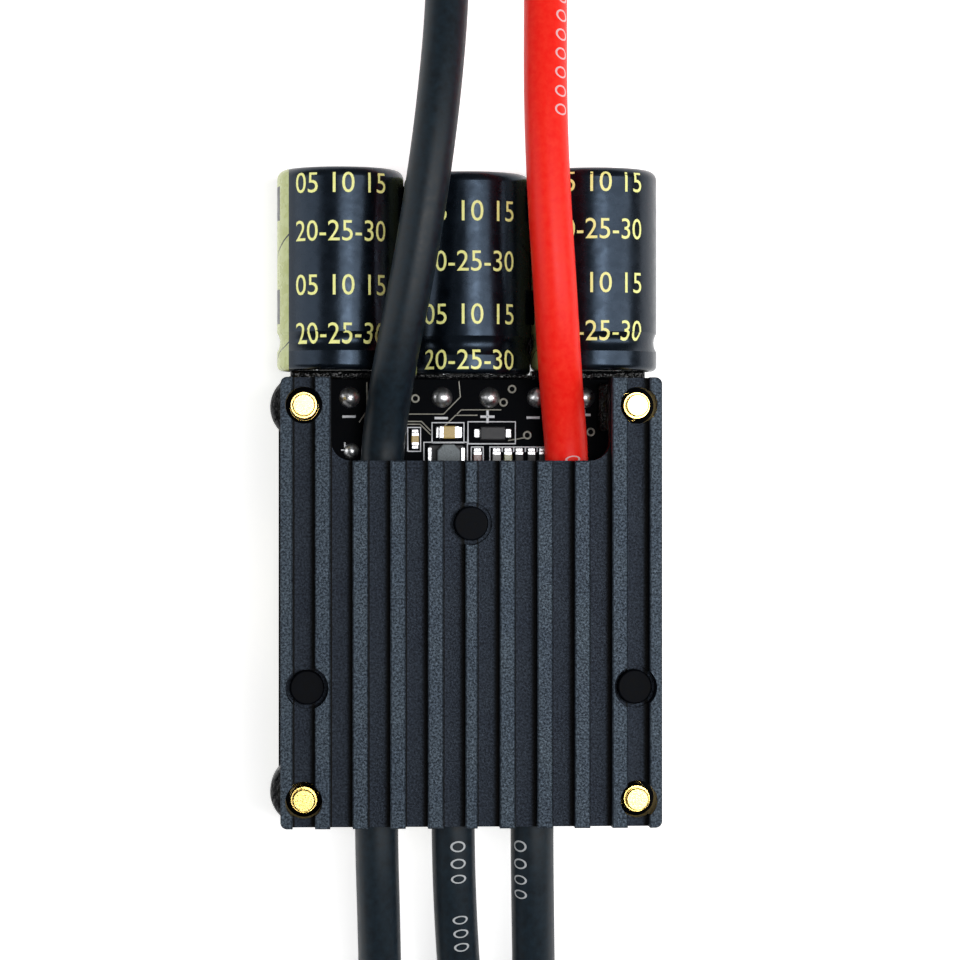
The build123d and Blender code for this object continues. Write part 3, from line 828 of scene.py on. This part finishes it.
# ---------- print on the capacitors ----------
canPrint = {
    "radius": 6.65,
    "axisHeight": 7.0,
    "glyph": 2.15,                  # height of the numerals
    "arc": 10.2,                    # length of a row round the sleeve
    "rows": ["05 10 15", "20-25-30"],
    "thickness": 0.03,
    "sleeves": {
        "left": (-13.35, [(32.8, 0), (27.8, 1), (22.2, 0), (17.2, 1)]),
        "middle": (0.0, [(29.9, 0), (24.7, 1), (19.2, 0), (14.5, 1)]),
        "right": (13.35, [(33.0, 0), (28.1, 1), (22.5, 0), (17.5, 1)]),
    },
}


def addPrintRow(text):
    # numerals made a mesh, cut into narrow strips, then bent round the sleeve
    clearSelection()
    bpy.ops.object.text_add(location=(0, 0, 0))
    words = bpy.context.object
    words.data.body = text
    words.data.align_x = "CENTER"
    words.data.align_y = "CENTER"
    words.data.resolution_u = 4
    bpy.ops.object.convert(target="MESH")
    row = bpy.context.object
    width, height = row.dimensions.x, row.dimensions.y
    middle = sum((Vector(corner) for corner in row.bound_box), Vector()) / 8
    editAll(row)
    bpy.ops.transform.translate(value=-middle)
    bpy.ops.transform.resize(value=(canPrint["arc"] * mm / width, canPrint["glyph"] * mm / height, 1),
                             center_override=(0, 0, 0))
    bpy.ops.object.mode_set(mode="OBJECT")
    step = 0.5
    for count in range(-10, 11):
        cutAcross(row, (count * step, 0, 0), (1, 0, 0))
    for count in range(-2, 3):
        cutAcross(row, (0, count * step, 0), (0, 1, 0))
    radius = canPrint["radius"]
    for vertex in row.data.vertices:
        angle = vertex.co.x / (radius * mm)
        reach = (radius + canPrint["thickness"]) * mm
        vertex.co.x, vertex.co.z = reach * math.sin(angle), reach * math.cos(angle)
    useMaterials(row, "ink")
    return row


def copyMesh(piece, name):
    clearSelection()
    twin = piece.copy()
    twin.data = piece.data.copy()
    twin.name = name
    bpy.context.scene.collection.objects.link(twin)
    return twin


def addCanPrint():
    patterns = [addPrintRow(text) for text in canPrint["rows"]]
    for side, (x, rows) in canPrint["sleeves"].items():
        parts = []
        for y, which in rows:
            row = copyMesh(patterns[which], "printRow")
            placeMesh(row, (1, 1, 1), (x, y, canPrint["axisHeight"]))
            parts.append(row)
        printed = joinPieces("capacitorPrint_" + side, parts)
        fit = printed.modifiers.new("fit", "SHRINKWRAP")
        fit.target = nodes["capacitor_sleeve_" + side]
        fit.wrap_mode = "ABOVE_SURFACE"
        fit.offset = canPrint["thickness"] * mm
        bpy.ops.object.modifier_apply(modifier=fit.name)
        setPiece(printed, "black_vinyl_sleeve")
    for pattern in patterns:
        bpy.data.objects.remove(pattern)


# ---------- pressure vents stamped in the can ends ----------
canVent = {"radius": 4.9, "groove": 0.14, "reach": 3.3, "rise": 0.12, "endHeight": 7.0,
           "ends": {"left": (-13.35, 34.3), "middle": (0.0, 33.85), "right": (13.35, 34.3)}}


def addVent(side):
    # a thin stamped face left standing round a cross of scored lines
    x, y = canVent["ends"][side]
    groove = canVent["groove"]
    reach = canVent["reach"]
    clearSelection()
    bpy.ops.mesh.primitive_circle_add(vertices=64, radius=canVent["radius"] * mm, fill_type="NGON",
                                      location=(0, 0, 0))
    face = bpy.context.object
    face.name = "canVent_" + side
    for cut in (-reach, -groove, groove, reach):
        cutAcross(face, (cut, 0, 0), (1, 0, 0))
        cutAcross(face, (0, cut, 0), (0, 1, 0))
    pickFaces(face, lambda centre, normal: min(abs(centre.x), abs(centre.y)) < groove
              and max(abs(centre.x), abs(centre.y)) < reach)
    bpy.ops.mesh.delete(type="FACE")
    bpy.ops.mesh.select_all(action="SELECT")
    bpy.ops.mesh.extrude_region_move(TRANSFORM_OT_translate={"value": (0, 0, canVent["rise"] * mm)})
    bpy.ops.mesh.select_all(action="SELECT")
    bpy.ops.mesh.normals_make_consistent(inside=False)
    bpy.ops.transform.rotate(value=math.radians(45), orient_axis="Z", center_override=(0, 0, 0))
    bpy.ops.object.mode_set(mode="OBJECT")
    turn = Matrix.Rotation(math.radians(-90), 4, "X")
    face.data.transform(Matrix.Translation(Vector((x, y, canVent["endHeight"])) * mm) @ turn)
    useMaterials(face, "can")
    setPiece(face, "can_aluminium")


addChips()
addDiode()
addInductor()
addBoardLines("ink", "silk")
addBoardLines("polarity", "silk")
addBoardLines("copper", "maskedCopper")
addVias()
addAdhesive()
print("board details done")
addCanPrint()
for side in canVent["ends"]:
    addVent(side)
print("capacitor print and vents done")


bpy.context.view_layer.update()
